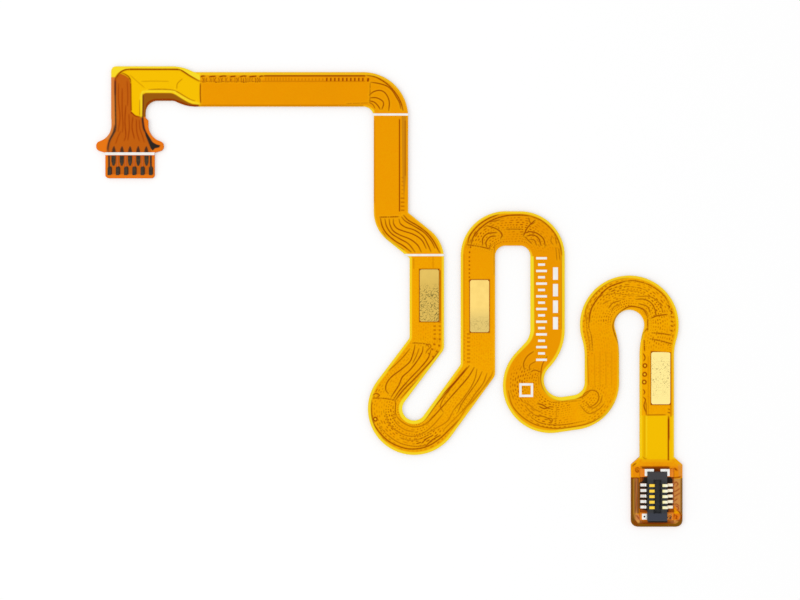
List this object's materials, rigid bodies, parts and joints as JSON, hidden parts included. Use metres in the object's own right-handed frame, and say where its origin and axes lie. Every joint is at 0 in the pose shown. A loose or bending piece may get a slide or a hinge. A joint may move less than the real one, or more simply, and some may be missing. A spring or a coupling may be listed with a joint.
{
  "type": "flat flex cable",
  "caption": "Thin flexible printed cable on a winding outline, with a board connector on one end and bare plug-in contacts on the other.",
  "frame": {"origin": "centre of the underside of the stiffener behind the board connector", "axes": "+X along the longest overall size, away from the plug-in end; +Y along the film as it leaves the connector; +Z out of the face that carries the connector and the contacts"},
  "size_m": [0.0426, 0.0334, 0.0008],
  "materials": {
    "film": "amber film, slightly clear",
    "cover": "amber film, satin",
    "stiffener": "amber laminate, satin",
    "copper": "etched copper, plated",
    "gold_pad": "pale gold plating, slightly stained",
    "dark_contact": "dull dark plating",
    "housing": "dark grey moulded plastic",
    "contact": "bright gold and tin plating",
    "solder": "bright solder",
    "hold_down": "bright tin plating",
    "ink": "white printed ink"
  },
  "bodies": {
    "root": {"base_film": "film", "bottom_cover": "cover", "top_cover": "cover", "plug_stiffener": "stiffener", "connector_stiffener": "stiffener", "plug_ground_plane": "copper", "guard_trace": "copper", "signal_trace_1": "copper", "signal_trace_2": "copper", "signal_trace_3": "copper", "signal_trace_4": "copper", "signal_trace_5": "copper", "ground_plane_lead": "copper", "ground_plane_short_leg": "copper", "ground_plane_hook_floor": "copper", "ground_plane_marked_leg": "copper", "ground_plane_arch_top": "copper", "ground_plane_left_leg": "copper", "ground_plane_fold_leg": "copper", "ground_plane_drop_leg": "copper", "ground_plane_long_arm": "copper", "contact_pads": "copper", "corner_pads": "copper", "plated_holes": "copper", "ground_pad_1": "gold_pad", "ground_pad_2": "gold_pad", "ground_pad_3": "gold_pad", "rear_contact_1": "dark_contact", "rear_contact_2": "dark_contact", "rear_contact_3": "dark_contact", "rear_contact_4": "dark_contact", "rear_contact_5": "dark_contact", "front_contact_1": "dark_contact", "front_contact_2": "dark_contact", "front_contact_3": "dark_contact", "front_contact_4": "dark_contact", "front_contact_5": "dark_contact", "front_contact_6": "dark_contact", "connector_housing": "housing", "connector_contact_left_1": "contact", "connector_contact_left_2": "contact", "connector_contact_left_3": "contact", "connector_contact_left_4": "contact", "connector_contact_left_5": "contact", "connector_contact_right_1": "contact", "connector_contact_right_2": "contact", "connector_contact_right_3": "contact", "connector_contact_right_4": "contact", "connector_contact_right_5": "contact", "solder_joints": "solder", "hold_down_left": "hold_down", "hold_down_right": "hold_down", "hold_tab_left": "hold_down", "hold_tab_right": "hold_down", "fold_line_upper": "ink", "fold_line_lower": "ink", "insertion_line": "ink", "legend_marks": "ink"}
  },
  "joints": []
}
